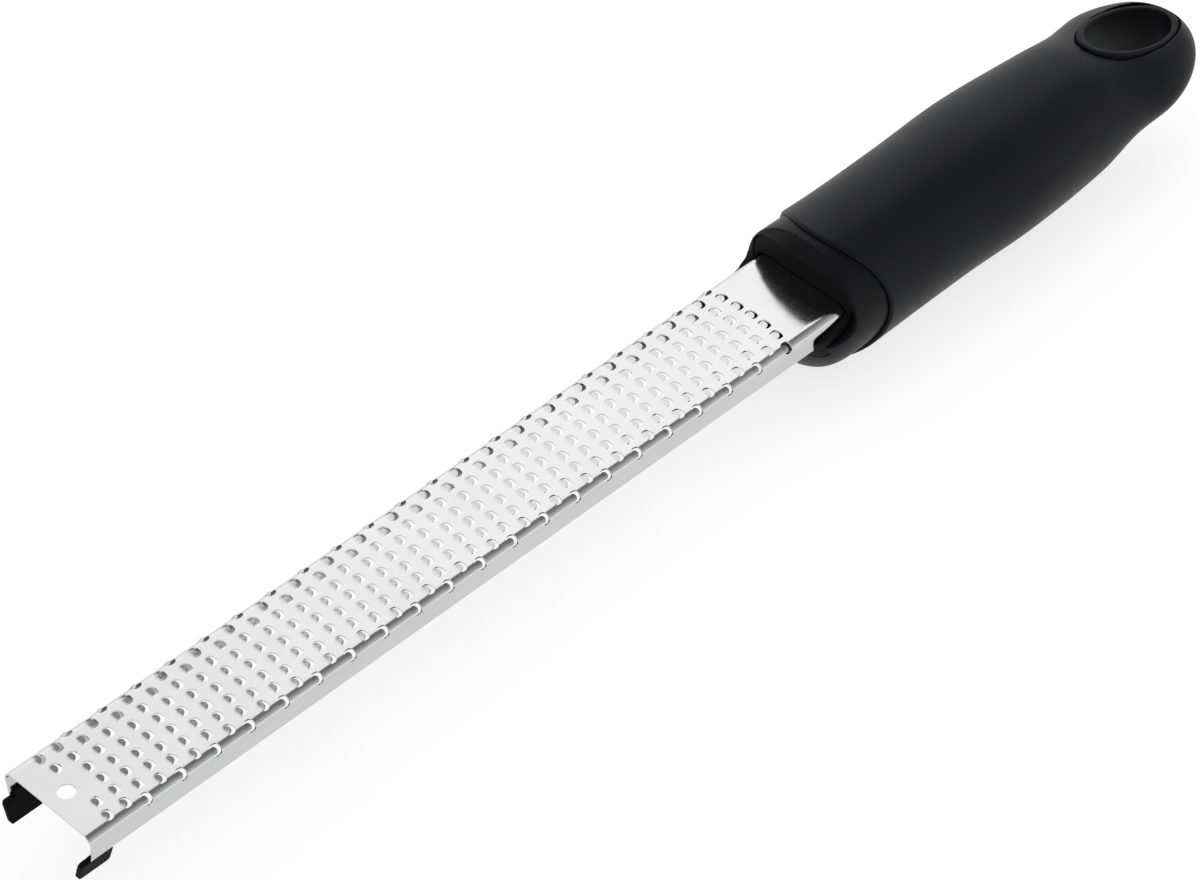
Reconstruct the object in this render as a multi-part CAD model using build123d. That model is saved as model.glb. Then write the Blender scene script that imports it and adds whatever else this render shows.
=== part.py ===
from build123d import *
from math import cos, degrees, radians, sin, sqrt, tan
import os

# Rasp zester, in millimetres
# The origin is the centre of the tip hole, on the top face of the blade.
# X runs along the blade to the butt of the handle, Y across, Z up out of the teeth.

# Fits and overruns
fit_gap = 0.05                # between pieces that are moulded or pressed together
overrun = 1.0                 # how far every cut runs past the face it opens

# Blade: one folded strip of thin sheet, open underneath
sheet = 0.4
tip_margin = 4.85             # from the tip hole's centre to the tip edge
tip_hole_radius = 1.92
blade_reach = 206.2           # from the tip edge to the front face of the handle
blade_corner_half = 13.1      # half the width where the top and wall planes would meet
bend_radius = 1.9             # outside of the fold
wall_depth = 6.6
wall_lean = 10.0              # degrees that each wall leans inwards

# Teeth: staggered rows on arcs, each a tongue over a crescent slot
row_pitch = 8.77
bare_neck = 12.0              # at least this much is left bare between the last row and the handle
half_columns = 6              # columns on each side of the middle one
column_pitch = 1.97
first_row = 11.7              # from the tip hole to the first full row
row_arc_radius = 42.0
slot_half_length = 1.2        # along the blade
slot_half_width = 1.4
slot_back = 0.2               # the slot's centre lies this far towards the tip from the tooth's
tongue_half_length = 0.9
tongue_half_width = 1.0
tongue_back = 0.75            # and the tongue's centre this far
tongue_rise = 0.3
tongue_edge = 0.2             # thickness left at the cutting edge
tip_gap_columns = 1           # columns left out of the first row beside the tip hole

# Feet: a soft pad inside the end of each wall
foot_length = 7.9
foot_past_tip = 2.1
foot_drop = 5.5               # below the wall, measured along the pad
foot_lean = 18.0              # degrees
foot_thickness = 1.2
foot_tab = 1.4                # height of the tab up the inside of the wall
foot_round = 1.0              # corners of the sole, seen from the side

# Tang: the flat end of the sheet inside the handle
tang_half_width = 8.5
tang_length = 46.0
tang_round = 3.0
peg_radius = 2.5
peg_inset = 11.0              # from each end of the tang to the peg nearest it
channel_in_handle = 14.0      # how far the folded section runs into the handle

# Handle
handle_length = 120.6         # from its front face to the butt
handle_half_width = 17.1      # at the widest section
handle_top = 13.1             # height of the crown over the blade's top face
handle_bottom = 21.7          # depth of the belly under it
rest_flat = 0.9               # how much of that the narrow flat takes off, that the handle rests on
skin = 2.2                    # thickness of the soft grip
band_step = 0.9               # how far the front band stands in from the grip
groove = 0.6                  # open line between the band and the grip
grip_edge_radius = 21.5       # the grip's front edge, seen from the side
grip_edge_back = 11.6         # how far back the edge lies at its middle
lip_reach = 10.7              # the lower lip stands this far ahead of the front face
tail_hollow_radius = 30.0     # the rise under the tail, seen from the side
tail_under = 10.7             # depth of the tail under the blade's top face
tail_hollow_back = 12.0       # the hollow's highest place, from the butt

# Front plug: fills the mouth of the handle round the blade
plug_recess = 0.8
plug_arch_top = 5.6
plug_arch_round = 4.5
plug_cheek = 0.8              # thickness beside the blade's wall
plug_floor = 8.4
plug_cheek_round = 2.0

# Hang hole
eye_back = 16.5               # from the butt to the middle of the eye
eye_half_length = 12.45
eye_half_width = 6.87
ring_wall_length = 2.2        # wall of the liner at the ends of the oval
ring_wall_side = 1.3          # and at its sides
ring_proud = 1.0              # how far it stands out under the tail
rim_height = 7.3              # the middle of its flat top face, over the blade's top face
rim_slope = 13.5              # degrees that this face falls towards the butt

# The handle's sections before its butt is rounded off: shares of its length from the front
# face, of its half width, of its top and of its bottom
section_shares = [
    (-0.088, 0.76, 0.945, 0.51),
    (-0.063, 0.87, 0.955, 0.70),
    (-0.036, 0.935, 0.965, 0.875),
    (-0.005, 0.985, 0.969, 1.0),
    (0.045, 0.986, 0.96, 1.01),
    (0.150, 0.973, 0.939, 0.995),
    (0.320, 0.988, 0.944, 0.949),
    (0.480, 1.026, 0.952, 0.931),
    (0.680, 0.937, 0.875, 0.886),
    (0.770, 0.899, 0.715, 0.676),
    (0.853, 0.939, 0.624, 0.533),
    (1.0, 0.906, 0.38, 0.207),
]
width_round_share = 0.834     # of the length: where the butt's rounding starts, seen from above
height_round_share = 0.939     # and seen from the side
stations = 22                 # sections that the handle's skin is drawn through
first_turn = 25               # degrees: the first station's place on the quarter turn of spacing

# The mouth in side view: shares of the lip's reach ahead of the front face,
# and of the wall's depth below the top face
mouth_edge_shares = [
    (-0.07, 0.0),
    (-0.07, 0.29),
    (-0.02, 0.55),
    (0.18, 0.73),
    (0.40, 0.83),
    (1.0, 0.91),
]
plug_face_shares = [(0.0, 0.15), (0.81, 0.59), (1.0, 0.86)]

tip_edge = -tip_margin
front_face = tip_edge + blade_reach
butt = front_face + handle_length
channel_end = front_face + channel_in_handle
tang_end = channel_end + tang_length
eye_centre = butt - eye_back
lip_front = front_face - lip_reach
flat_half = blade_corner_half - bend_radius * tan(radians((90 + wall_lean) / 2))
wall_foot_half = blade_corner_half - wall_depth * tan(radians(wall_lean))


def channel_face(inset, depth):
    """The folded section's outline on the YZ plane, drawn inset from its outside."""
    half_top = blade_corner_half - inset / tan(radians((90 - wall_lean) / 2))
    half_foot = half_top - (depth - inset) * tan(radians(wall_lean))
    corners = [(-half_foot, -depth), (-half_top, -inset), (half_top, -inset), (half_foot, -depth)]
    outline = Plane.YZ * make_face(Polyline(*corners, close=True))
    top_corners = outline.vertices().sort_by(Axis.Z)[-2:]
    return fillet(top_corners, bend_radius - inset)


def along_x(face, start, end):
    return Pos(start, 0, 0) * extrude(face, end - start, dir=(1, 0, 0))


def blade_channel(clearance, start, end):
    """The folded strip between two stations, thickened on every side by a clearance."""
    outside = channel_face(-clearance, wall_depth + clearance)
    inside = channel_face(sheet + clearance, wall_depth + clearance + overrun)
    return along_x(outside, start, end) - along_x(inside, start - overrun, end + overrun)


def tooth_slot():
    outline = SlotOverall(2 * slot_half_width, 2 * slot_half_length, rotation=90)
    return extrude(Pos(-slot_back, 0, 0) * outline, bend_radius, both=True)


def tooth_tongue():
    """A tongue that rises from its root, on the tip's side, to its cutting edge."""
    edge = tongue_half_length - tongue_back
    root = -tongue_half_length - tongue_back
    side = [(root, 0), (root, -sheet), (edge, tongue_rise - tongue_edge), (edge, tongue_rise)]
    wedge = extrude(Plane.XZ * make_face(Polyline(*side, close=True)), tongue_half_width, both=True)
    outline = SlotOverall(2 * tongue_half_width, 2 * tongue_half_length, rotation=90)
    return wedge & extrude(Pos(-tongue_back, 0, 0) * outline, bend_radius, both=True)


def on_sheet(x, across):
    """The place and turn of a point on the sheet, measured across it round the folds."""
    side = 1 if across > 0 else -1
    turn = max(0, abs(across) - flat_half) / bend_radius
    y = min(abs(across), flat_half) + bend_radius * sin(turn)
    z = bend_radius * cos(turn) - bend_radius
    return Pos(x, side * y, z) * Rot(-side * degrees(turn), 0, 0)


def tooth_places():
    """Full rows use the even columns and the rows between them the odd ones."""
    full_rows = int((front_face - bare_neck - first_row) / row_pitch) + 1
    places = []
    for step in range(-2, 2 * full_rows - 1):
        first_short_row = step == -2
        odd = step % 2 == 1 or first_short_row
        for column in range(-half_columns, half_columns + 1):
            if (column + half_columns) % 2 != odd:
                continue
            if first_short_row and abs(column) <= tip_gap_columns:
                continue
            across = column * column_pitch
            x = first_row + step * row_pitch / 2 - across ** 2 / (2 * row_arc_radius)
            places.append(on_sheet(x, across))
    return places


def etched_blade():
    strip = blade_channel(0, tip_edge, channel_end)
    tang_section = Plane.YZ * Rectangle(2 * tang_half_width, sheet, align=(Align.CENTER, Align.MAX))
    tang = along_x(tang_section, channel_end, tang_end)
    end_edges = tang.edges().filter_by(Axis.Z).group_by(Axis.X)[-1]
    tang = fillet(end_edges, tang_round)
    strip += tang
    through = 2 * (sheet + overrun)
    strip -= Cylinder(tip_hole_radius, through)
    strip -= [Pos(x, 0, 0) * Cylinder(peg_radius + fit_gap, through) for x in peg_places()]
    places = tooth_places()
    slot = tooth_slot()
    tongue = tooth_tongue()
    strip -= [place * slot for place in places]
    strip += [place * tongue for place in places]
    return strip


def foot(side):
    """The pad under one wall: its tab backs the wall and its sole leans further in."""
    down = (-sin(radians(foot_lean)), -cos(radians(foot_lean)))
    inward = (-cos(radians(foot_lean)), sin(radians(foot_lean)))
    lean_in = tan(radians(wall_lean))
    wall_in = sheet / cos(radians(wall_lean)) + fit_gap
    tab_in = foot_thickness - sheet
    outer = (wall_foot_half, -wall_depth - fit_gap)
    sole_out = (outer[0] + foot_drop * down[0], outer[1] + foot_drop * down[1])
    sole_in = (sole_out[0] + foot_thickness * inward[0], sole_out[1] + foot_thickness * inward[1])
    tab_top = -wall_depth + foot_tab
    tab_half = wall_foot_half + foot_tab * lean_in - wall_in
    seat = (wall_foot_half - wall_in, -wall_depth - fit_gap)
    points = [outer, sole_out, sole_in, (tab_half - tab_in, tab_top), (tab_half, tab_top), seat]
    points = [(side * y, z) for y, z in points]
    pad = along_x(Plane.YZ * make_face(Polyline(*points, close=True)), 0, foot_length)
    sole_height = foot_drop * cos(radians(foot_lean))
    sole = Plane.XZ * RectangleRounded(foot_length, sole_height, foot_round)
    outline = Pos(foot_length / 2, 0, -wall_depth - sole_height / 2) * sole
    tab_end = foot_length - foot_round
    tab_height = foot_tab + sole_height / 2
    tab = Plane.XZ * Rectangle(tab_end - foot_past_tip, tab_height)
    outline += Pos((foot_past_tip + tab_end) / 2, 0, tab_top - tab_height / 2) * tab
    return Pos(tip_edge - foot_past_tip, 0, 0) * (pad & extrude(outline, 2 * blade_corner_half, both=True))


def section_share(along, column):
    """One column of the section shares at any station, on a smooth curve through its values."""
    rows = section_shares
    last = len(rows) - 1
    i = max(k for k in range(last) if k == 0 or rows[k][0] <= along)

    def slope(k):
        before, after = rows[max(k - 1, 0)], rows[min(k + 1, last)]
        return (after[column] - before[column]) / (after[0] - before[0])

    span = rows[i + 1][0] - rows[i][0]
    t = (along - rows[i][0]) / span
    rise = (3 - 2 * t) * t ** 2
    ends = (1 - rise) * rows[i][column] + rise * rows[i + 1][column]
    return ends + span * t * (1 - t) * ((1 - t) * slope(i) - t * slope(i + 1))


def butt_rounding(along, start_share):
    """How much of its size a section keeps where the butt closes on a quarter ellipse."""
    beyond = max(0, along - start_share) / (1 - start_share)
    return sqrt(1 - beyond ** 2)


def station_shares():
    """Stations along the handle, closer together towards the butt."""
    first = section_shares[0][0]
    shares = []
    for i in range(stations):
        turn = radians(first_turn + (180 - first_turn) * i / stations)
        spread = (cos(radians(first_turn)) - cos(turn)) / (cos(radians(first_turn)) + 1)
        shares.append(first + (1 - first) * spread)
    return shares


def handle_body(inset):
    """The whole outside of the handle, drawn inset by a skin."""
    sections = []
    for along in station_shares():
        upper = handle_top * section_share(along, 2)
        lower = -handle_bottom * section_share(along, 3)
        half_width = handle_half_width * section_share(along, 1) - inset
        half_width *= butt_rounding(along, width_round_share)
        half_height = (upper - lower) / 2 - inset
        half_height *= butt_rounding(along, height_round_share)
        pulled_in = inset * max(0, along - width_round_share) / (1 - width_round_share)
        origin = (front_face + handle_length * along - pulled_in, 0, (upper + lower) / 2)
        station = Plane(origin=origin, x_dir=(0, 1, 0), z_dir=(1, 0, 0))
        sections.append(station * Ellipse(half_width, half_height))
    butt_height = (handle_top * section_shares[-1][2] - handle_bottom * section_shares[-1][3]) / 2
    sections.append(Vertex(butt - inset, 0, butt_height))
    hollow_top = -tail_under + inset
    hollow = Rot(90, 0, 0) * Cylinder(tail_hollow_radius, 4 * handle_half_width)
    body = loft(sections) - Pos(butt - tail_hollow_back, 0, hollow_top - tail_hollow_radius) * hollow
    return split(body, Plane.XY.offset(rest_flat + inset - handle_bottom), keep=Keep.TOP)


def ahead_of(station):
    """All the space ahead of a station."""
    reach = 2 * handle_length
    toward_tip = (Align.MAX, Align.CENTER, Align.CENTER)
    return Pos(station, 0, 0) * Box(reach, reach, reach, align=toward_tip)


def ahead_of_grip(clearance):
    """All the space ahead of the grip's arched front edge."""
    centre = front_face + grip_edge_back - grip_edge_radius
    middle = (handle_top - handle_bottom) / 2
    arch = Rot(90, 0, 0) * Cylinder(grip_edge_radius - clearance, 4 * handle_half_width)
    return Pos(centre, 0, middle) * arch + ahead_of(centre)


def side_cut(shares, recess):
    """The space ahead of a face whose side view is given in shares."""
    points = [(front_face + recess, handle_top + overrun)]
    points += [(front_face + recess - lip_reach * ahead, -wall_depth * below) for ahead, below in shares]
    points += [(lip_front - lip_reach, points[-1][1]), (lip_front - lip_reach, handle_top + overrun)]
    return extrude(Plane.XZ * make_face(Polyline(*points, close=True)), 2 * handle_half_width, both=True)


def plug_outline(clearance):
    """The plug's section: an arch over the blade and cheeks beside and below it."""
    cheek_half = blade_corner_half + plug_cheek + clearance
    arch = Pos(0, -plug_floor / 2) * Rectangle(
        2 * cheek_half, plug_floor / 2 + plug_arch_top + clearance, align=(Align.CENTER, Align.MIN))
    arch = fillet(arch.vertices().group_by(Axis.Y)[-1], plug_arch_round)
    cheek_height = plug_floor + 2 * plug_cheek + 2 * clearance
    cheeks = Pos(0, plug_cheek + clearance - cheek_height / 2) * RectangleRounded(
        2 * cheek_half, cheek_height, plug_cheek_round)
    return Plane.YZ * (arch + cheeks)


def front_end():
    """The handle's front: the band that shows and the spigot behind it, inside the grip."""
    band = handle_body(band_step) & ahead_of_grip(groove)
    spigot = handle_body(skin + fit_gap) & ahead_of(channel_end)
    return band + spigot


def front_plug():
    body = along_x(plug_outline(0), lip_front, channel_end) & front_end()
    body -= side_cut(plug_face_shares, plug_recess)
    return body - blade_channel(fit_gap, lip_front - overrun, channel_end + overrun)


def front_collar():
    body = front_end() - along_x(plug_outline(fit_gap), lip_front - overrun, channel_end + overrun)
    return body - side_cut(mouth_edge_shares, 0)


def eye_outline(clearance_length, clearance_side):
    return Ellipse(eye_half_length + clearance_length, eye_half_width + clearance_side)


def eye_column(extra_length, extra_side):
    column = extrude(eye_outline(extra_length, extra_side), handle_bottom + handle_top, both=True)
    return Pos(eye_centre, 0, 0) * column


def peg_places():
    return [channel_end + peg_inset, tang_end - peg_inset]


def handle_core():
    body = handle_body(skin + fit_gap) - ahead_of(channel_end)
    body -= eye_column(ring_wall_length + fit_gap, ring_wall_side + fit_gap)
    pocket_half = tang_half_width + fit_gap
    below_face = (Align.MIN, Align.CENTER, Align.MAX)
    pocket = Box(tang_length + fit_gap, 2 * pocket_half, sheet + 2 * fit_gap, align=below_face)
    pocket = fillet(pocket.edges().filter_by(Axis.Z).group_by(Axis.X)[-1], tang_round)
    for x in peg_places():
        pocket -= Pos(x - channel_end, 0, 0) * Cylinder(peg_radius, 2 * (sheet + overrun))
    return body - Pos(channel_end, 0, fit_gap) * pocket


def grip_sleeve():
    shell = handle_body(0) - handle_body(skin)
    shell -= ahead_of_grip(0)
    return shell - eye_column(ring_wall_length + fit_gap, ring_wall_side + fit_gap)


def hang_ring():
    """The liner of the eye: its top face is flat, its lower end follows the tail's underside."""
    tube = eye_column(ring_wall_length, ring_wall_side) - eye_column(0, 0)
    slope = radians(rim_slope)
    rim = Plane(origin=(eye_centre, 0, rim_height), z_dir=(sin(slope), 0, cos(slope)))
    upper = split(split(tube, Plane.XY, keep=Keep.TOP), rim, keep=Keep.BOTTOM)
    lower = split(tube, Plane.XY, keep=Keep.BOTTOM) & handle_body(-ring_proud)
    return upper + lower


nodes = {
    "etched_blade": etched_blade,
    "near_foot": lambda: foot(-1),
    "far_foot": lambda: foot(1),
    "front_plug": front_plug,
    "front_collar": front_collar,
    "handle_core": handle_core,
    "grip_sleeve": grip_sleeve,
    "hang_ring": hang_ring,
}

os.makedirs("parts", exist_ok=True)
for name, make in nodes.items():
    piece = make()
    piece.label = name
    export_step(piece, f"parts/{name}.step")
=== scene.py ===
from math import pi, radians, tan

import bpy
import numpy as np
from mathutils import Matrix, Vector
from mathutils.geometry import delaunay_2d_cdt


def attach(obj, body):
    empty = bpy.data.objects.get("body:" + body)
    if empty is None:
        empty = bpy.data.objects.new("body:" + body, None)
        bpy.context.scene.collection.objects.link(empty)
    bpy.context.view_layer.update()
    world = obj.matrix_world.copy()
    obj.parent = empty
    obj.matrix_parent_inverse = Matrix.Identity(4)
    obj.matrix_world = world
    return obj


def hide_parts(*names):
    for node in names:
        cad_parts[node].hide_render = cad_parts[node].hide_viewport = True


# A rasp zester. The frame is in metres, and the sizes below are in millimetres.
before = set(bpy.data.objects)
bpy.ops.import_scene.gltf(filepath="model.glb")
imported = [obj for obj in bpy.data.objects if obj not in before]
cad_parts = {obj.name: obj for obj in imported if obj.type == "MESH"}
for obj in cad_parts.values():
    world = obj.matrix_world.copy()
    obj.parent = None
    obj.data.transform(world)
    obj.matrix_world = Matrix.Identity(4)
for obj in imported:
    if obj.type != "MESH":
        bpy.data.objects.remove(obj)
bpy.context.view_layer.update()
mm = 0.001

# Blade
sheet = 0.4
tip_edge = -4.85
channel_end = 215.35
tang_end = 261.35
tang_half_width = 8.5
tip_hole_radius = 1.92
peg_radius = 2.55
peg_inset = 11.0
corner_half = 13.1            # half the width where the top and wall planes would meet
bend_radius = 2.4
wall_depth = 6.6
wall_lean = 10.0              # degrees
bend_steps = 12
line_points = 60              # in each line of points along the bends
hole_points = 48

# Teeth: the outlines are superellipses
row_pitch = 8.77
full_rows = 21
half_columns = 6
column_pitch = 1.97
first_row = 11.7
row_arc_radius = 42.0
tip_gap_columns = 1
slot_shape = (-0.2, 1.2, 1.4, 2.5)        # centre, half length, half width, exponent
tongue_shape = (-0.75, 0.9, 1.0, 2.2)
fold_tongue_shape = (-0.9, 0.78, 0.85, 2.2)   # the slots on the folds stand wider open
tongue_rise = 0.3
tongue_bend_share = 0.5       # of the tongue's length, over which it curves up out of the sheet
tongue_bow = 0.45             # how far its curved root lies behind the line between its horns
edge_thinning = 0.2           # of the sheet, at a tongue's tip
slot_points = 28
tongue_points = 22
tongue_rows = 12
tongue_shares = (-0.6, -0.2, 0.2, 0.6)
root_points = 13
root_shares = np.linspace(-0.7, 0.7, 5)
near_gap = 0.35               # from a slot to the ring of points round it
near_points = 24
search_turns = 4001           # to find where a tongue's outline meets its slot's
on_edge = 1e-3                # how far outside its outline a point still belongs to a tongue
merge_distance = 1e-5
smooth_rim = 0.7              # the least cosine between neighbouring edges of a smooth rim
painted_shade_start = 4.0             # the painted shade starts this far along the walls' inside, where little light comes
painted_shade_length = 16.0

# Handle
front_face = 201.35
handle_length = 120.6
handle_half_width = 17.1
handle_top = 13.1
handle_bottom = 21.7
rest_flat = 0.9
skin = 2.2
skin_margin = 0.03            # the outer skin lies this far inside the solid's
grip_edge_radius = 21.5
grip_edge_back = 10.7
grip_edge_round = 0.7
grip_lip_inset = 0.85         # the grip's thin front lip just covers the end of the band
grip_lip = 0.9
tail_hollow_radius = 30.0
tail_under = 10.7
tail_hollow_back = 12.0
width_round_share = 0.834
height_round_share = 0.939
section_shares = [
    (-0.088, 0.76, 0.945, 0.51),
    (-0.063, 0.87, 0.955, 0.70),
    (-0.036, 0.935, 0.965, 0.875),
    (-0.005, 0.985, 0.969, 1.0),
    (0.045, 0.986, 0.96, 1.01),
    (0.150, 0.973, 0.939, 0.995),
    (0.320, 0.988, 0.944, 0.949),
    (0.480, 1.026, 0.952, 0.931),
    (0.680, 0.937, 0.875, 0.886),
    (0.770, 0.899, 0.715, 0.676),
    (0.853, 0.939, 0.624, 0.533),
    (1.0, 0.906, 0.38, 0.207),
]
grip_rows = 150
grip_columns = 180
row_crowding = 0.5            # how much closer the rows come at both ends
end_gap = 0.02                # between the last row and the butt
edge_rounds = 4               # to find where the front edge lies on the skin
round_points = 6              # over a rounded edge

# Feet
tab_setback = 0.9             # from the wall's end to the tab behind the wall

# Hang eye
eye_back = 16.5
eye_half_length = 12.45
eye_half_width = 6.87
ring_wall_length = 2.2
ring_wall_side = 1.3
ring_gap = 0.45               # between the liner and the grip
ring_proud = 0.95             # of the liner's lower end below the tail
ring_round = 0.55
ring_points = 128
rim_side_drop = 0.5           # the rim falls with the skin on both sides
rim_height = 7.3
rim_slope = 13.5              # degrees

butt = front_face + handle_length
eye_centre = butt - eye_back
full_turn = radians(90 + wall_lean)
flat_half = corner_half - bend_radius * tan(full_turn / 2)
wall_start = flat_half + bend_radius * full_turn
wall_start_depth = bend_radius * (1 - np.cos(full_turn))
sheet_half = wall_start + (wall_depth - wall_start_depth) / np.sin(full_turn)


# Meshes
def new_object(name, vertices, faces, smooth=True):
    """An object from points in millimetres."""
    mesh = bpy.data.meshes.new(name)
    mesh.from_pydata([tuple(v) for v in np.asarray(vertices) * mm], [], [tuple(f) for f in faces])
    mesh.validate()
    mesh.update()
    if smooth:
        mesh.polygons.foreach_set("use_smooth", [True] * len(mesh.polygons))
    obj = bpy.data.objects.new(name, mesh)
    bpy.context.collection.objects.link(obj)
    return obj


def apply_modifiers(obj):
    """Puts the result of an object's modifiers into its mesh."""
    depsgraph = bpy.context.evaluated_depsgraph_get()
    result = bpy.data.meshes.new_from_object(obj.evaluated_get(depsgraph))
    obj.modifiers.clear()
    old = obj.data
    obj.data = result
    bpy.data.meshes.remove(old)


def arc(centre, radius, start, end, count):
    """Points on an arc of the flat sheet, both ends included."""
    turns = np.linspace(start, end, count)
    return np.stack([centre[0] + radius * np.cos(turns), centre[1] + radius * np.sin(turns)], axis=1)


# Blade
def sheet_place(flat, lift):
    """Points of the flat sheet, folded: flat holds the way along and the way across."""
    across = np.abs(flat[:, 1])
    side = np.sign(flat[:, 1])
    turn = np.clip((across - flat_half) / bend_radius, 0, full_turn)
    wall = np.maximum(across - wall_start, 0)
    radius = bend_radius + lift
    y = np.minimum(across, flat_half) + radius * np.sin(turn) + wall * np.cos(turn)
    z = radius * np.cos(turn) - bend_radius - wall * np.sin(turn)
    return np.stack([flat[:, 0], side * y, z], axis=1)


def sheet_axes(flat):
    """The outward normal of the folded sheet and the direction across it."""
    turn = np.clip((np.abs(flat[:, 1]) - flat_half) / bend_radius, 0, full_turn)
    side = np.sign(flat[:, 1])
    nothing = np.zeros(len(flat))
    normal = np.stack([nothing, side * np.sin(turn), np.cos(turn)], axis=1)
    across = np.stack([nothing, np.cos(turn), -side * np.sin(turn)], axis=1)
    return normal, across


def tooth_kinds():
    """The centres, tongue, slot and root of the flat teeth and of those on the folds."""
    centres = tooth_centres()
    on_fold = np.abs(centres[:, 1]) > flat_half
    return [(centres[~on_fold], tongue_shape, *crescent(tongue_shape)),
            (centres[on_fold], fold_tongue_shape, *crescent(fold_tongue_shape))]


def tooth_centres():
    """Full rows use the even columns and the rows between them the odd ones."""
    centres = []
    for step in range(-2, 2 * full_rows - 1):
        first_short_row = step == -2
        odd = step % 2 == 1 or first_short_row
        for column in range(-half_columns, half_columns + 1):
            if (column + half_columns) % 2 != odd:
                continue
            if first_short_row and abs(column) <= tip_gap_columns:
                continue
            across = column * column_pitch
            along = first_row + step * row_pitch / 2 - across ** 2 / (2 * row_arc_radius)
            centres.append((along, across))
    return np.array(centres)


def outline_points(shape, turns):
    """Points of a superellipse at the given turns from the handle's side."""
    centre, half_length, half_width, exponent = shape
    c, s = np.cos(turns), np.sin(turns)
    u = centre + half_length * np.sign(c) * np.abs(c) ** (2 / exponent)
    return np.stack([u, half_width * np.sign(s) * np.abs(s) ** (2 / exponent)], axis=-1)


def within(shape, u, v):
    centre, half_length, half_width, exponent = shape
    return np.abs((u - centre) / half_length) ** exponent + np.abs(v / half_width) ** exponent


def last_turn(shape, other, wanted_inside):
    """The turn at which one outline first meets the other."""
    turns = np.linspace(0, pi, search_turns)
    places = outline_points(shape, turns)
    inside = within(other, places[:, 0], places[:, 1]) < 1
    return turns[np.argmax(inside == wanted_inside)]


def crescent(tongue):
    """The slot round a tongue: out along the slot's outline and back along the tongue's."""
    outer_turn = last_turn(slot_shape, tongue, True)
    inner_turn = last_turn(tongue, slot_shape, False)
    outer = outline_points(slot_shape, np.linspace(-outer_turn, outer_turn, slot_points))
    inner = outline_points(tongue, np.linspace(inner_turn, -inner_turn, tongue_points))
    return np.concatenate([outer, inner[1:-1]]), outer[-1][0]


def root_at(root, root_half, v):
    """The curved line along which a tongue leaves the sheet."""
    return root - tongue_bow * np.clip(1 - (v / root_half) ** 2, 0, 1)


def tongue_lift(flat, centres, tongue, slot, root):
    """How far each point rises with its tongue, how steeply, and how thin it is there."""
    root_half = abs(slot[0][1])
    gap = flat[:, None, :] - centres[None, :, :]
    nearest = np.argmin((gap ** 2).sum(axis=2), axis=1)
    local = gap[np.arange(len(flat)), nearest]
    inside = within(tongue, local[:, 0], local[:, 1]) <= 1 + on_edge
    start = root_at(root, root_half, local[:, 1])
    length = tongue[0] + tongue[1] - start
    t = np.where(inside, np.clip((local[:, 0] - start) / length, 0, 1), 0)
    bend = tongue_bend_share
    curved = t < bend
    rise = np.where(curved, t ** 2 / (bend * (2 - bend)), (2 * t - bend) / (2 - bend))
    slope = np.where(curved, 2 * t / (bend * (2 - bend)), 2 / (2 - bend)) * (t > 0)
    return np.array([tongue_rise * rise, tongue_rise * slope / length, edge_thinning * rise])


def blade_outline():
    """The flat sheet before it is folded, with its tang."""
    return np.array([
        (tip_edge, -sheet_half), (channel_end, -sheet_half),
        (channel_end, -tang_half_width), (tang_end, -tang_half_width),
        (tang_end, tang_half_width), (channel_end, tang_half_width),
        (channel_end, sheet_half), (tip_edge, sheet_half),
    ])


def flat_mesh(kinds):
    """Triangles of the flat sheet outside every hole, and the points they use."""
    points, edges = [], []

    def add(loop, closed=True):
        first = len(points)
        points.extend(loop)
        count = len(loop)
        edges.extend((first + i, first + (i + 1) % count) for i in range(count if closed else count - 1))

    add(blade_outline())
    for bend_share in np.linspace(0, 1, bend_steps + 1):
        across = flat_half + bend_share * (wall_start - flat_half)
        for side in (-1, 1):
            line = [(x, side * across) for x in np.linspace(tip_edge, channel_end, line_points)]
            add(line, closed=False)
    holes = [((0, 0), tip_hole_radius), ((channel_end + peg_inset, 0), peg_radius),
             ((tang_end - peg_inset, 0), peg_radius)]
    for centre, radius in holes:
        add(arc(centre, radius, 0, 2 * pi, hole_points + 1)[:-1])
    slot_centre, slot_length, slot_width, slot_exponent = slot_shape
    near = outline_points((slot_centre, slot_length + near_gap, slot_width + near_gap, slot_exponent),
                          np.linspace(0, 2 * pi, near_points + 1)[:-1])
    for centres, tongue, slot, root in kinds:
        centre_u, half_length, half_width, exponent = tongue
        grid = np.linspace(root, centre_u + half_length, tongue_rows)[:-1]
        root_half = abs(slot[0][1])
        root_line = [(root_at(root, root_half, v), v)
                     for v in np.linspace(-root_half, root_half, root_points)]
        for centre in centres:
            add(slot + centre)
            add(np.array(root_line) + centre, closed=False)
            points.extend(near + centre)
            for u in grid:
                half = half_width * (1 - abs((u - centre_u) / half_length) ** exponent) ** (1 / exponent)
                for share in tongue_shares:
                    points.append(np.array((u, share * half)) + centre)
            for v in root_shares * root_half:
                points.append(np.array(((root + root_at(root, root_half, v)) / 2, v)) + centre)

    result = delaunay_2d_cdt([Vector(p) for p in points], edges, [], 0, merge_distance)
    flat = np.array([tuple(v) for v in result[0]])
    triangles = np.array(result[2])
    middle = flat[triangles].mean(axis=1)
    keep = np.abs(middle[:, 1]) < np.where(middle[:, 0] < channel_end, sheet_half, tang_half_width)
    for centre, radius in holes:
        keep &= np.hypot(middle[:, 0] - centre[0], middle[:, 1] - centre[1]) > radius
    for centres, tongue, _, _ in kinds:
        gap = middle[:, None, :] - centres[None, :, :]
        in_slot = within(slot_shape, gap[:, :, 0], gap[:, :, 1]) < 1
        in_tongue = within(tongue, gap[:, :, 0], gap[:, :, 1]) < 1
        keep &= ~(in_slot & ~in_tongue).any(axis=1)
    return flat, triangles[keep]


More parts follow.
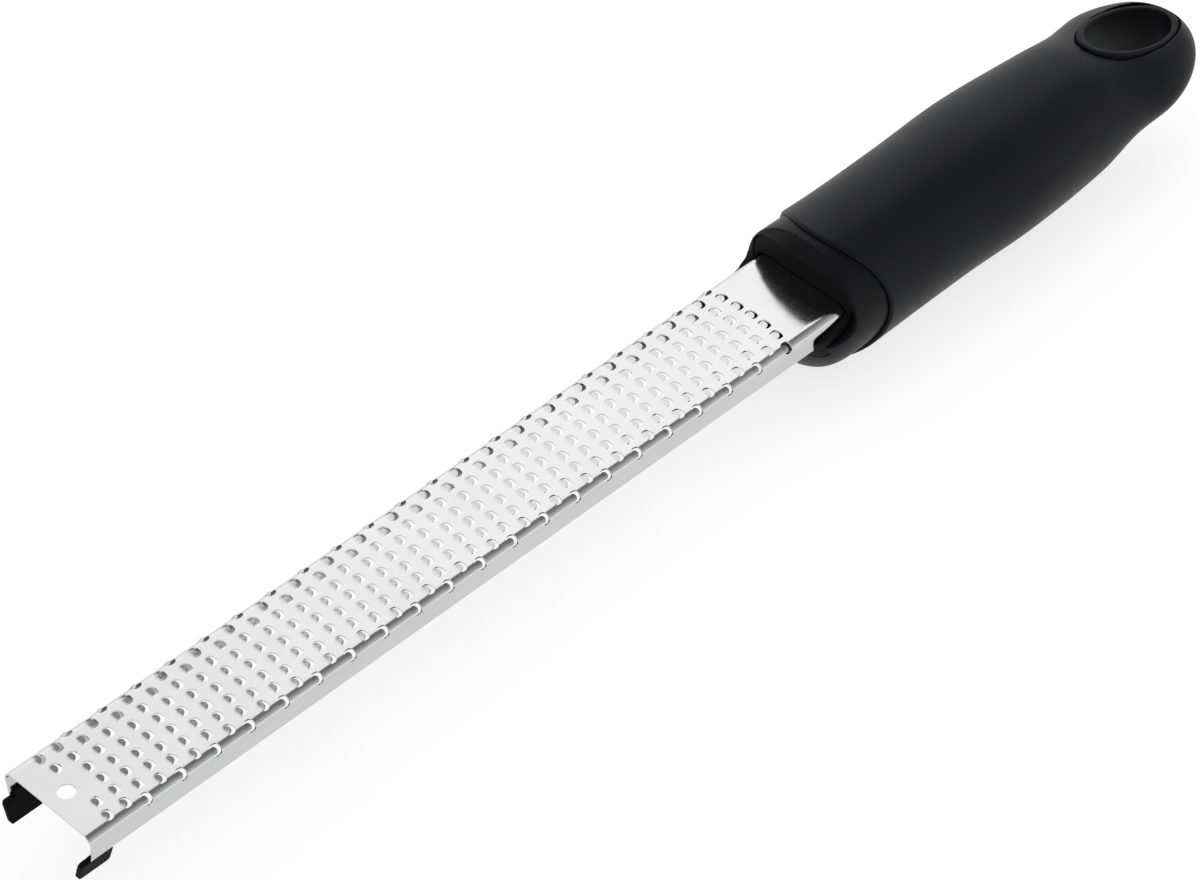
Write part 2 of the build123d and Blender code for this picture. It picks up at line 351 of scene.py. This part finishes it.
def etched_blade():
    kinds = tooth_kinds()
    flat, triangles = flat_mesh(kinds)
    count = len(flat)
    rise, slope, thinning = sum(tongue_lift(flat, *kind) for kind in kinds)
    top = sheet_place(flat, rise)
    bottom = sheet_place(flat, rise - sheet + thinning)
    normal, across = sheet_axes(flat)
    tilt = normal - slope[:, None] * np.array([1.0, 0, 0])
    tilt /= np.linalg.norm(tilt, axis=1)[:, None]

    directed = {}
    for a, b, c in triangles:
        for start, end in ((a, b), (b, c), (c, a)):
            directed[(start, end)] = True
    border = [edge for edge in directed if (edge[1], edge[0]) not in directed]
    outward = {}
    for a, b in border:
        way = flat[b] - flat[a]
        out = np.array([way[1], -way[0]]) / np.hypot(*way)
        outward[(a, b)] = out
    at_point = {}
    for (a, b), out in outward.items():
        at_point.setdefault(a, []).append(out)
        at_point.setdefault(b, []).append(out)

    def rim_normal(point, out):
        near = sum(other for other in at_point[point] if other @ out > smooth_rim)
        near = near / np.hypot(*near)
        return near[0] * np.array([1.0, 0, 0]) + near[1] * across[point]

    faces = [tuple(t) for t in triangles]
    faces += [(c + count, b + count, a + count) for a, b, c in triangles]
    faces += [(a, a + count, b + count, b) for a, b in border]
    obj = new_object("etched_blade_sheet", np.concatenate([top, bottom]), faces)

    loops = []
    for a, b, c in triangles:
        loops += [tilt[a], tilt[b], tilt[c]]
    for a, b, c in triangles:
        loops += [-tilt[c], -tilt[b], -tilt[a]]
    for a, b in border:
        out = outward[(a, b)]
        at_a, at_b = rim_normal(a, out), rim_normal(b, out)
        loops += [at_a, at_a, at_b, at_b]
    assert len(loops) == len(obj.data.loops)
    obj.data.normals_split_custom_set([tuple(n) for n in loops])

    # Painted shade: the inside of the walls behind the open tip is darkened in the steel's colour,
    # because little light comes there.
    depth = np.clip((flat[:, 0] - painted_shade_start) / painted_shade_length, 0, 1)
    depth = depth * np.clip((np.abs(flat[:, 1]) - flat_half) / bend_radius, 0, 1)
    painted_shade = obj.data.attributes.new("painted_shade", "FLOAT", "POINT")
    painted_shade.data.foreach_set("value", np.concatenate([np.zeros(count), depth]))
    return obj


# Handle
def section_share(along, column):
    """One column of the section shares at any station, on a smooth curve through its values."""
    rows = np.array(section_shares)
    last = len(rows) - 1
    i = np.clip(np.searchsorted(rows[:, 0], along, side="right") - 1, 0, last - 1)
    before, after = np.maximum(np.arange(last + 1) - 1, 0), np.minimum(np.arange(last + 1) + 1, last)
    slopes = (rows[after, column] - rows[before, column]) / (rows[after, 0] - rows[before, 0])
    span = rows[i + 1, 0] - rows[i, 0]
    t = (along - rows[i, 0]) / span
    rise = (3 - 2 * t) * t ** 2
    ends = (1 - rise) * rows[i, column] + rise * rows[i + 1, column]
    return ends + span * t * (1 - t) * ((1 - t) * slopes[i] - t * slopes[i + 1])


def butt_rounding(along, start_share):
    beyond = np.clip(along - start_share, 0, 1 - start_share) / (1 - start_share)
    return np.sqrt(1 - beyond ** 2)


def section(x, inset=0.0):
    """Half width, middle height and half height of the handle at each station."""
    share = (x - front_face) / handle_length
    beyond = np.maximum(share - width_round_share, 0) / (1 - width_round_share)
    along = np.minimum((x - front_face + inset * beyond) / handle_length, 1)
    upper = handle_top * section_share(along, 2)
    lower = -handle_bottom * section_share(along, 3)
    half_width = handle_half_width * section_share(along, 1) - inset
    half_width = half_width * butt_rounding(along, width_round_share)
    half_height = ((upper - lower) / 2 - inset) * butt_rounding(along, height_round_share)
    return half_width, (upper + lower) / 2, half_height


def hollow_height(x, inset):
    """The rise under the tail, as the least height that the skin may have there."""
    reach = np.clip(tail_hollow_radius ** 2 - (x - butt + tail_hollow_back) ** 2, 0, None)
    under = inset - tail_under - tail_hollow_radius + np.sqrt(reach)
    return np.maximum(np.where(reach > 0, under, -np.inf), rest_flat + inset - handle_bottom)


def handle_skin(x, turn, inset=0.0):
    """A point of the handle's skin, from its station and its turn round the section."""
    half_width, middle, half_height = section(x, inset)
    y = half_width * np.cos(turn)
    z = middle + half_height * np.sin(turn)
    return np.stack([x, y, np.maximum(z, hollow_height(x, inset))], axis=-1)


def grip_edge(turn):
    """The station of the grip's arched front edge at each turn."""
    middle = (handle_top - handle_bottom) / 2
    x = np.full_like(turn, front_face + grip_edge_back)
    for _ in range(edge_rounds):
        z = handle_skin(x, turn)[..., 2]
        reach = np.sqrt(grip_edge_radius ** 2 - (z - middle) ** 2)
        x = front_face + grip_edge_back - grip_edge_radius + reach
    return x


def grid_faces(rows, columns):
    """Quads of a grid that closes on itself along its columns."""
    faces = []
    for here in range(0, (rows - 1) * columns, columns):
        for j in range(columns):
            k = (j + 1) % columns
            faces.append((here + j, here + k, here + columns + k, here + columns + j))
    return faces


def grip_shell():
    turn = np.linspace(0, 2 * pi, grip_columns, endpoint=False)
    edge = grip_edge(turn)
    spread = (1 - np.cos(np.linspace(0, pi, grip_rows + 1)))[1:-1] / 2
    spread = row_crowding * spread + (1 - row_crowding) * np.linspace(0, 1, grip_rows + 1)[1:-1]
    end = butt - end_gap
    rows = []
    for share in spread[::-1]:
        x = edge + grip_lip + (end - skin - edge - grip_lip) * share
        rows.append(handle_skin(x, turn, skin))
    rows.append(handle_skin(edge + grip_lip, turn, grip_lip_inset))
    rows.append(handle_skin(edge, turn, grip_lip_inset))
    for lip in np.linspace(0, pi / 2, round_points):
        inset = grip_edge_round * (1 - np.sin(lip)) + skin_margin
        x = edge + grip_edge_round * (1 - np.cos(lip))
        rows.append(handle_skin(x, turn, inset))
    for share in spread:
        x = edge + grip_edge_round + (end - edge - grip_edge_round) * share
        rows.append(handle_skin(x, turn, skin_margin))
    points = np.concatenate(rows)
    faces = grid_faces(len(rows), grip_columns)
    _, middle, _ = section(np.array([end]))
    poles = np.array([(end - skin, 0, middle[0]), (end, 0, middle[0])])
    inner_pole, outer_pole = len(points), len(points) + 1
    last = (len(rows) - 1) * grip_columns
    for j in range(grip_columns):
        k = (j + 1) % grip_columns
        faces.append((inner_pole, k, j))
        faces.append((last + j, last + k, outer_pole))
    return new_object("grip_skin", np.concatenate([points, poles]), faces)


def oval(extra_length, extra_side):
    """Points of the eye's outline, moved outwards."""
    turns = np.linspace(0, 2 * pi, ring_points, endpoint=False)
    x = eye_centre + (eye_half_length + extra_length) * np.cos(turns)
    return x, (eye_half_width + extra_side) * np.sin(turns)


def eye_cutter():
    x, y = oval(ring_wall_length + ring_gap, ring_wall_side + ring_gap)
    low = np.stack([x, y, np.full_like(x, -handle_bottom)], axis=1)
    high = np.stack([x, y, np.full_like(x, handle_top)], axis=1)
    faces = [tuple(range(ring_points))[::-1], tuple(range(ring_points, 2 * ring_points))]
    faces += grid_faces(2, ring_points)
    return new_object("eye_cutter", np.concatenate([low, high]), faces, smooth=False)


def grip():
    shell = grip_shell()
    cutter = eye_cutter()
    cut = shell.modifiers.new("eye", "BOOLEAN")
    cut.operation = "DIFFERENCE"
    cut.solver = "EXACT"
    cut.object = cutter
    apply_modifiers(shell)
    bpy.data.objects.remove(cutter)
    return shell


def under_skin(x, y, inset):
    """The height of the handle's underside below a place."""
    half_width, middle, half_height = section(x, inset)
    reach = np.sqrt(np.clip(1 - (y / half_width) ** 2, 0, 1))
    return np.maximum(middle - half_height * reach, hollow_height(x, inset))


def hang_ring():
    """The liner: up its inner wall, over the rounded rim and down its outer wall."""
    def ring_row(out_length, out_side, drop, top):
        x, y = oval(out_length, out_side)
        rim = rim_height - (x - eye_centre) * tan(radians(rim_slope))
        rim = rim - rim_side_drop * (y / (eye_half_width + ring_wall_side)) ** 2
        foot = under_skin(x, y, -ring_proud)
        z = rim - drop if top else foot + drop
        return np.stack([x, y, z], axis=1)

    corner = np.linspace(0, pi / 2, round_points)
    falling, rising = ring_round * (1 - np.sin(corner)), ring_round * (1 - np.cos(corner))
    rows = [ring_row(out, out, drop, False) for out, drop in zip(falling, rising)]
    rows += [ring_row(out, out, drop, True) for out, drop in zip(rising, falling)]
    for outs, drops, top in ((falling, rising, True), (rising, falling, False)):
        rows += [ring_row(ring_wall_length - out, ring_wall_side - out, drop, top)
                 for out, drop in zip(outs, drops)]
    points = np.concatenate(rows)
    faces = grid_faces(len(rows), ring_points)
    last = (len(rows) - 1) * ring_points
    for j in range(ring_points):
        k = (j + 1) % ring_points
        faces.append((last + j, last + k, k, j))
    return new_object("hang_eye_liner", points, faces)


def softened(node, name, voxel, rounds):
    """A node's shape with its edges rounded off as moulding leaves them."""
    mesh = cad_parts[node].data.copy()
    obj = bpy.data.objects.new(name, mesh)
    bpy.context.collection.objects.link(obj)
    remesh = obj.modifiers.new("remesh", "REMESH")
    remesh.mode = "VOXEL"
    remesh.voxel_size = voxel * mm
    smooth = obj.modifiers.new("smooth", "SMOOTH")
    smooth.iterations = rounds
    apply_modifiers(obj)
    obj.data.polygons.foreach_set("use_smooth", [True] * len(obj.data.polygons))
    return obj


def reshaped(obj, rule):
    """Moves an object's points by a rule in millimetres."""
    points = np.empty(3 * len(obj.data.vertices))
    obj.data.vertices.foreach_get("co", points)
    points = rule(points.reshape(-1, 3) / mm) * mm
    obj.data.vertices.foreach_set("co", points.ravel())
    obj.data.update()
    return obj


def set_tab_back(points):
    """A foot's tab starts a little behind the wall's end."""
    x, y, z = points.T
    return np.stack([np.where(z > -wall_depth, np.maximum(x, tip_edge + tab_setback), x), y, z], axis=1)


# Materials
bright_steel = ((0.57, 0.57, 0.575), (0.60, 0.60, 0.605))
painted_shade_steel = (0.08, 0.08, 0.082)        # painted shade: the steel's colour inside the walls
noise_span = (0.3, 0.7)       # where nearly all of a noise's values lie
gloss_spread = 0.03           # of the roughness, to either side


def new_material(name):
    material = bpy.data.materials.new(name)
    material.use_nodes = True
    nodes, links = material.node_tree.nodes, material.node_tree.links
    return material, nodes, links, nodes["Principled BSDF"]


def noise(nodes, links, scale, detail):
    place = nodes.new("ShaderNodeTexCoord")
    texture = nodes.new("ShaderNodeTexNoise")
    texture.inputs["Scale"].default_value = scale
    texture.inputs["Detail"].default_value = detail
    links.new(place.outputs["Object"], texture.inputs["Vector"])
    return texture.outputs["Fac"]


def ramp(nodes, links, value, low, high):
    """Maps a noise to a range."""
    node = nodes.new("ShaderNodeMapRange")
    node.inputs["From Min"].default_value, node.inputs["From Max"].default_value = noise_span
    node.inputs["To Min"].default_value = low
    node.inputs["To Max"].default_value = high
    links.new(value, node.inputs["Value"])
    return node.outputs["Result"]


def bump(nodes, links, shader, height, distance, strength):
    node = nodes.new("ShaderNodeBump")
    node.inputs["Strength"].default_value = strength
    node.inputs["Distance"].default_value = distance * mm
    links.new(height, node.inputs["Height"])
    links.new(node.outputs["Normal"], shader.inputs["Normal"])


def mixed_colour(nodes, links, factor, low, high):
    node = nodes.new("ShaderNodeMix")
    node.data_type = "RGBA"
    node.inputs["A"].default_value = (*low, 1)
    node.inputs["B"].default_value = (*high, 1)
    links.new(factor, node.inputs["Factor"])
    return node.outputs["Result"]


def steel():
    material, nodes, links, shader = new_material("etched_steel")
    shader.inputs["Metallic"].default_value = 1.0
    cloud = ramp(nodes, links, noise(nodes, links, scale=60, detail=3), 0, 1)
    bright = mixed_colour(nodes, links, cloud, *bright_steel)
    # Painted shade: the shade attribute mixes the steel's colour towards the dark painted shade colour
    # inside the walls.
    painted_shade = nodes.new("ShaderNodeAttribute")
    painted_shade.attribute_name = "painted_shade"
    painted_shade_mix = nodes.new("ShaderNodeMix")
    painted_shade_mix.data_type = "RGBA"
    painted_shade_mix.inputs["B"].default_value = (*painted_shade_steel, 1)
    links.new(painted_shade.outputs["Fac"], painted_shade_mix.inputs["Factor"])
    links.new(bright, painted_shade_mix.inputs["A"])
    links.new(painted_shade_mix.outputs["Result"], shader.inputs["Base Color"])
    gloss = ramp(nodes, links, noise(nodes, links, scale=300, detail=4), 0.13, 0.18)
    links.new(gloss, shader.inputs["Roughness"])
    bump(nodes, links, shader, noise(nodes, links, scale=2500, detail=2), distance=0.002, strength=0.3)
    return material


def moulded(name, low, high, roughness, grain, depth, gloss_level):
    """Black moulded surface: fine grain, with slight variation in colour and gloss."""
    material, nodes, links, shader = new_material(name)
    cloud = ramp(nodes, links, noise(nodes, links, scale=45, detail=4), 0, 1)
    links.new(mixed_colour(nodes, links, cloud, low, high), shader.inputs["Base Color"])
    gloss = ramp(nodes, links, noise(nodes, links, scale=120, detail=3), roughness - gloss_spread,
                 roughness + gloss_spread)
    links.new(gloss, shader.inputs["Roughness"])
    shader.inputs["Specular IOR Level"].default_value = gloss_level
    bump(nodes, links, shader, noise(nodes, links, scale=grain, detail=3), depth, strength=0.5)
    return material


def finish_piece(obj, material, node):
    """Gives a piece its material and puts it in its node's place."""
    obj.data.materials.clear()
    obj.data.materials.append(material)
    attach(obj, "root")
    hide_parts(node)


steel_finish = steel()
grip_finish = moulded("soft_grip", (0.006, 0.0063, 0.0082), (0.008, 0.0084, 0.0108),
                      roughness=0.42, grain=4000, depth=0.01, gloss_level=0.12)
collar_finish = moulded("satin_collar", (0.0042, 0.0044, 0.0056), (0.0055, 0.0058, 0.0072),
                        roughness=0.4, grain=5000, depth=0.006, gloss_level=0.09)
plug_finish = moulded("matte_plug", (0.004, 0.004, 0.0045), (0.005, 0.005, 0.0055),
                      roughness=0.6, grain=4000, depth=0.01, gloss_level=0.1)
ring_finish = moulded("matte_liner", (0.006, 0.0062, 0.008), (0.008, 0.0083, 0.0105),
                      roughness=0.5, grain=4000, depth=0.01, gloss_level=0.1)
foot_finish = moulded("foot_rubber", (0.004, 0.004, 0.0045), (0.006, 0.006, 0.0065),
                      roughness=0.7, grain=3000, depth=0.015, gloss_level=0.1)
core_finish = moulded("core_plastic", (0.02, 0.02, 0.022), (0.024, 0.024, 0.026),
                      roughness=0.5, grain=3000, depth=0.01, gloss_level=0.2)

finish_piece(etched_blade(), steel_finish, "etched_blade")
finish_piece(grip(), grip_finish, "grip_sleeve")
finish_piece(hang_ring(), ring_finish, "hang_ring")
collar_band = softened("front_collar", "collar_band", voxel=0.25, rounds=6)
finish_piece(collar_band, collar_finish, "front_collar")
mouth_plug = softened("front_plug", "mouth_plug", voxel=0.15, rounds=8)
finish_piece(mouth_plug, plug_finish, "front_plug")
for foot in ("near_foot", "far_foot"):
    pad = softened(foot, foot + "_pad", voxel=0.15, rounds=8)
    finish_piece(reshaped(pad, set_tab_back), foot_finish, foot)
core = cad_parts["handle_core"]
for material_slot in core.material_slots:
    material_slot.material = core_finish


# Studio
studio_radius = 3000
studio_middle = 160           # along the tool
studio_points = 96
backdrop_height = 900
backdrop_colour, backdrop_glow = 0.92, 0.8
card_corners = [(-300, 20, 600), (1500, 20, 600), (1500, 2000, 600), (-300, 2000, 600)]
card_stops = [                # metres along the tool, and how bright the card is there
    (0.05, 0.30), (0.085, 0.42), (0.14, 1.0), (0.2, 1.2), (0.3, 1.28), (0.5, 1.46), (0.8, 1.5),
]
world_dark, world_light = 0.2, 0.7
dark_above, light_below = 0.95, 0.35      # sines of the heights over the horizon
floor_colour, floor_glow = 0.3, 0.78
floor_gap = 0.02              # between the floor and the belly's flat
floor_height = rest_flat - handle_bottom - floor_gap
lamp_place = (0.15, 0, 1.6)   # metres, as the camera's place is
lamp_target = (0.15, 0, 0)
lamp_side = 2.0
lamp_power = 13
camera_place = (-0.3772, -0.5213, 0.7180)
camera_turn = (45.485, 0, -44.91)         # degrees
camera_lens = 151.74
camera_reach = 20


def backdrop_material(name, level, camera_glow):
    """A pale surface that brightens only what the camera and the reflections see of it."""
    material, nodes, links, shader = new_material(name)
    shader.inputs["Base Color"].default_value = (level, level, level, 1)
    shader.inputs["Roughness"].default_value = 0.9
    shader.inputs["Specular IOR Level"].default_value = 0.0
    path = nodes.new("ShaderNodeLightPath")
    seen = nodes.new("ShaderNodeMath")
    seen.operation = "ADD"
    seen.use_clamp = True
    links.new(path.outputs["Is Glossy Ray"], seen.inputs[0])
    links.new(path.outputs["Is Transmission Ray"], seen.inputs[1])
    both = nodes.new("ShaderNodeMath")
    both.operation = "ADD"
    both.use_clamp = True
    links.new(seen.outputs["Value"], both.inputs[0])
    links.new(path.outputs["Is Camera Ray"], both.inputs[1])
    glow = nodes.new("ShaderNodeMath")
    glow.operation = "MULTIPLY"
    glow.inputs[1].default_value = camera_glow
    links.new(both.outputs["Value"], glow.inputs[0])
    shader.inputs["Emission Color"].default_value = (1, 1, 1, 1)
    links.new(glow.outputs["Value"], shader.inputs["Emission Strength"])
    return material


def studio_ring(height):
    turns = np.linspace(0, 2 * pi, studio_points, endpoint=False)
    return [(studio_middle + studio_radius * np.cos(t), studio_radius * np.sin(t), height)
            for t in turns]


def disc_floor():
    obj = new_object("floor", studio_ring(floor_height), [tuple(range(studio_points))])
    obj.data.materials.append(backdrop_material("floor", floor_colour, floor_glow))


def backdrop():
    points = studio_ring(floor_height) + studio_ring(backdrop_height)
    obj = new_object("backdrop", points, grid_faces(2, studio_points))
    obj.data.materials.append(backdrop_material("backdrop", backdrop_colour, backdrop_glow))


def gradient(nodes, links, value, low, high, at_low, at_high):
    """A soft change from one level to another between two values."""
    node = nodes.new("ShaderNodeMapRange")
    node.interpolation_type = "SMOOTHSTEP"
    node.inputs["From Min"].default_value = low
    node.inputs["From Max"].default_value = high
    node.inputs["To Min"].default_value = at_low
    node.inputs["To Max"].default_value = at_high
    links.new(value, node.inputs["Value"])
    return node.outputs["Result"]


def reflector():
    """A soft card behind the object, brighter towards the handle's end."""
    obj = new_object("reflector", card_corners, [(3, 2, 1, 0)])
    material = bpy.data.materials.new("reflector")
    material.use_nodes = True
    nodes, links = material.node_tree.nodes, material.node_tree.links
    nodes.clear()
    place = nodes.new("ShaderNodeTexCoord")
    split = nodes.new("ShaderNodeSeparateXYZ")
    links.new(place.outputs["Object"], split.inputs["Vector"])
    card_end, brightest = card_stops[-1]
    along = nodes.new("ShaderNodeMapRange")
    along.inputs["From Min"].default_value = 0.0
    along.inputs["From Max"].default_value = card_end
    links.new(split.outputs["X"], along.inputs["Value"])
    levels = nodes.new("ShaderNodeValToRGB")
    stops = levels.color_ramp.elements
    while len(stops) < len(card_stops):
        stops.new(0.5)
    for stop, (x, level) in zip(stops, card_stops):
        share = level / brightest
        stop.position = x / card_end
        stop.color = (share, share, share, 1)
    links.new(along.outputs["Result"], levels.inputs["Fac"])
    emission = nodes.new("ShaderNodeEmission")
    emission.inputs["Strength"].default_value = brightest
    links.new(levels.outputs["Color"], emission.inputs["Color"])
    output = nodes.new("ShaderNodeOutputMaterial")
    links.new(emission.outputs["Emission"], output.inputs["Surface"])
    obj.data.materials.append(material)
    obj.visible_camera = False
    obj.visible_shadow = False


def overhead_lamp():
    """A large soft lamp that lights the object and the floor, and shows in no reflection."""
    data = bpy.data.lights.new("overhead", "AREA")
    data.shape = "RECTANGLE"
    data.size, data.size_y = lamp_side, lamp_side
    data.energy = lamp_power
    obj = bpy.data.objects.new("overhead", data)
    bpy.context.collection.objects.link(obj)
    obj.location = lamp_place
    way = Vector(lamp_target) - Vector(lamp_place)
    obj.rotation_euler = way.to_track_quat("-Z", "Y").to_euler()
    obj.visible_camera = False
    obj.visible_glossy = False


def dim_world():
    """Darkest overhead and lighter towards the horizon."""
    world = bpy.data.worlds.new("studio")
    world.use_nodes = True
    nodes, links = world.node_tree.nodes, world.node_tree.links
    place = nodes.new("ShaderNodeTexCoord")
    facing = nodes.new("ShaderNodeVectorMath")
    facing.operation = "DOT_PRODUCT"
    facing.inputs[1].default_value = (0.0, 0.0, 1.0)
    links.new(place.outputs["Generated"], facing.inputs[0])
    level = gradient(nodes, links, facing.outputs["Value"], light_below, dark_above,
                     world_light, world_dark)
    links.new(level, nodes["Background"].inputs["Strength"])
    nodes["Background"].inputs["Color"].default_value = (1, 1, 1, 1)
    bpy.context.scene.world = world


disc_floor()
backdrop()
reflector()
overhead_lamp()
dim_world()

camera_data = bpy.data.cameras.new("camera")
camera_data.lens = camera_lens
camera_data.sensor_width = 36
camera_data.clip_end = camera_reach
camera = bpy.data.objects.new("camera", camera_data)
bpy.context.collection.objects.link(camera)
camera.location = camera_place
camera.rotation_euler = [radians(turn) for turn in camera_turn]
bpy.context.scene.camera = camera
bpy.context.scene.view_settings.view_transform = "Standard"
